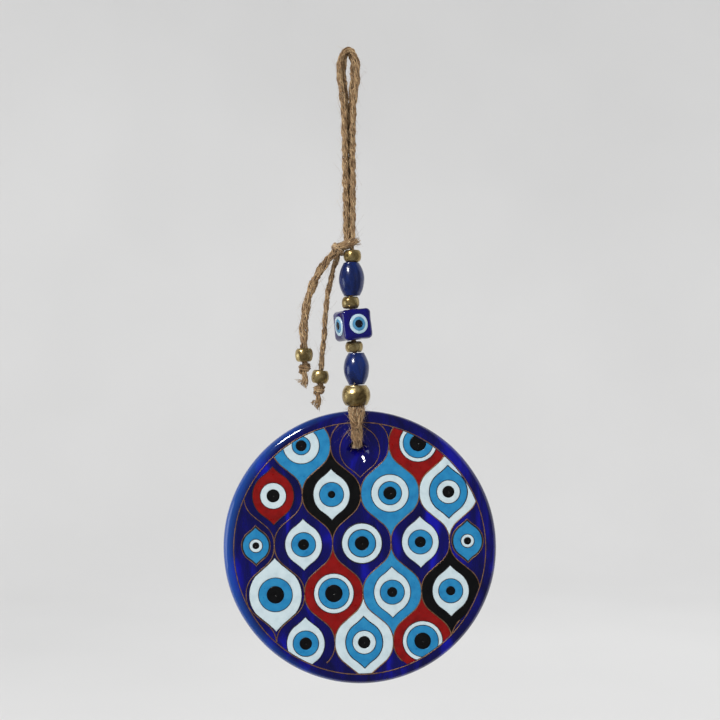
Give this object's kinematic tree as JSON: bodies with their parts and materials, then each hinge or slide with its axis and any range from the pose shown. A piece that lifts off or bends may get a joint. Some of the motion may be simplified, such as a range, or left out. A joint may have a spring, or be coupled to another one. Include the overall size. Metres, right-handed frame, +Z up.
{
  "type": "evil eye ornament",
  "caption": "Hanging glass disc enamelled with rows of eyes, on doubled jute twine with a strand of brass and glass beads, two beaded tails and a hanging loop.",
  "frame": {"origin": "the point where the hanging loop rests on its nail, at the underside of the twine", "axes": "+Z up along the hanging line, -Y towards the viewer from the enamelled face, +X to the viewer's right"},
  "size_m": [0.12, 0.0177, 0.2794],
  "materials": {
    "cobalt_glass": "polished, thick cast glass",
    "white_enamel": "glossy fired enamel",
    "turquoise_enamel": "glossy fired enamel",
    "red_enamel": "glossy fired enamel",
    "black_enamel": "glossy fired enamel",
    "gold_line": "fired gold line",
    "jute": "rough two-ply twine",
    "antique_brass": "polished, darkened",
    "oval_glass": "translucent, softly polished",
    "cube_glass": "polished",
    "eye_white_glass": "polished",
    "eye_blue_glass": "polished",
    "eye_pupil_glass": "polished"
  },
  "bodies": {
    "hanging_loop_body": {"loop_strand_front": "jute", "loop_strand_back": "jute"},
    "knot": {"main_knot": "jute"},
    "bead_strand": {"bead_cord_front": "jute", "bead_cord_back": "jute"},
    "upper_spacer": {"brass_spacer_upper": "antique_brass"},
    "upper_oval": {"oval_bead_upper": "oval_glass"},
    "middle_spacer": {"brass_spacer_middle": "antique_brass"},
    "eye_cube": {"eye_cube_bead": "cube_glass", "cube_eye_whites": "eye_white_glass", "cube_eye_irises": "eye_blue_glass", "cube_eye_pupils": "eye_pupil_glass"},
    "lower_spacer": {"brass_spacer_lower": "antique_brass"},
    "lower_oval": {"oval_bead_lower": "oval_glass"},
    "big_bead": {"big_brass_bead": "antique_brass"},
    "pendant": {"glass_disc": "cobalt_glass", "enamel_white": "white_enamel", "enamel_turquoise": "turquoise_enamel", "enamel_red": "red_enamel", "enamel_black": "black_enamel", "gold_outline": "gold_line", "disc_hitch": "jute"},
    "left_tail": {"left_tail_cord": "jute", "left_tail_knot": "jute"},
    "left_bead": {"left_tail_bead": "antique_brass"},
    "right_tail": {"right_tail_cord": "jute", "right_tail_knot": "jute"},
    "right_bead": {"right_tail_bead": "antique_brass"}
  },
  "joints": [
    {"name": "knot_sway", "type": "hinge", "parent": "hanging_loop_body", "child": "knot", "pos_m": [-0.0013, 0, -0.0796], "axis": [0, 1, 0], "range_deg": [-20, 20]},
    {"name": "strand_swing", "type": "hinge", "parent": "knot", "child": "bead_strand", "pos_m": [-0.0003, 0, -0.0856], "axis": [1, 0, 0], "range_deg": [-20, 20]},
    {"name": "upper_spacer_spin", "type": "hinge", "parent": "bead_strand", "child": "upper_spacer", "pos_m": [-0.0003, 0, -0.0885], "axis": [0, 0, 1], "continuous": true},
    {"name": "upper_oval_spin", "type": "hinge", "parent": "bead_strand", "child": "upper_oval", "pos_m": [-0.0008, 0, -0.0987], "axis": [0, 0, 1], "continuous": true},
    {"name": "middle_spacer_spin", "type": "hinge", "parent": "bead_strand", "child": "middle_spacer", "pos_m": [-0.0015, 0, -0.10895], "axis": [0, 0, 1], "continuous": true},
    {"name": "eye_cube_spin", "type": "hinge", "parent": "bead_strand", "child": "eye_cube", "pos_m": [-0.0008, 0, -0.1188], "axis": [0, 0, 1], "continuous": true},
    {"name": "lower_spacer_spin", "type": "hinge", "parent": "bead_strand", "child": "lower_spacer", "pos_m": [-0.0004, 0, -0.1284], "axis": [0, 0, 1], "continuous": true},
    {"name": "lower_oval_spin", "type": "hinge", "parent": "bead_strand", "child": "lower_oval", "pos_m": [0.0004, 0, -0.1381], "axis": [0, 0, 1], "continuous": true},
    {"name": "disc_turn", "type": "hinge", "parent": "bead_strand", "child": "big_bead", "pos_m": [0, 0, -0.1499], "axis": [0, 0, 1], "range_deg": [-90, 90]},
    {"name": "disc_tilt", "type": "hinge", "parent": "big_bead", "child": "pendant", "pos_m": [0, 0, -0.1553], "axis": [1, 0, 0], "range_deg": [-12, 12]},
    {"name": "left_tail_swing", "type": "hinge", "parent": "knot", "child": "left_tail", "pos_m": [-0.0079, -0.002, -0.087], "axis": [1, 0, 0], "range_deg": [-30, 30]},
    {"name": "right_tail_swing", "type": "hinge", "parent": "knot", "child": "right_tail", "pos_m": [-0.0064, 0.0015, -0.0875], "axis": [1, 0, 0], "range_deg": [-30, 30]},
    {"name": "left_bead_slide", "type": "slide", "parent": "left_tail", "child": "left_bead", "axis": [0, 0, 1], "range_m": [0, 0.006]},
    {"name": "right_bead_slide", "type": "slide", "parent": "right_tail", "child": "right_bead", "axis": [0.1191, 0, 0.9929], "range_m": [0, 0.006]}
  ]
}
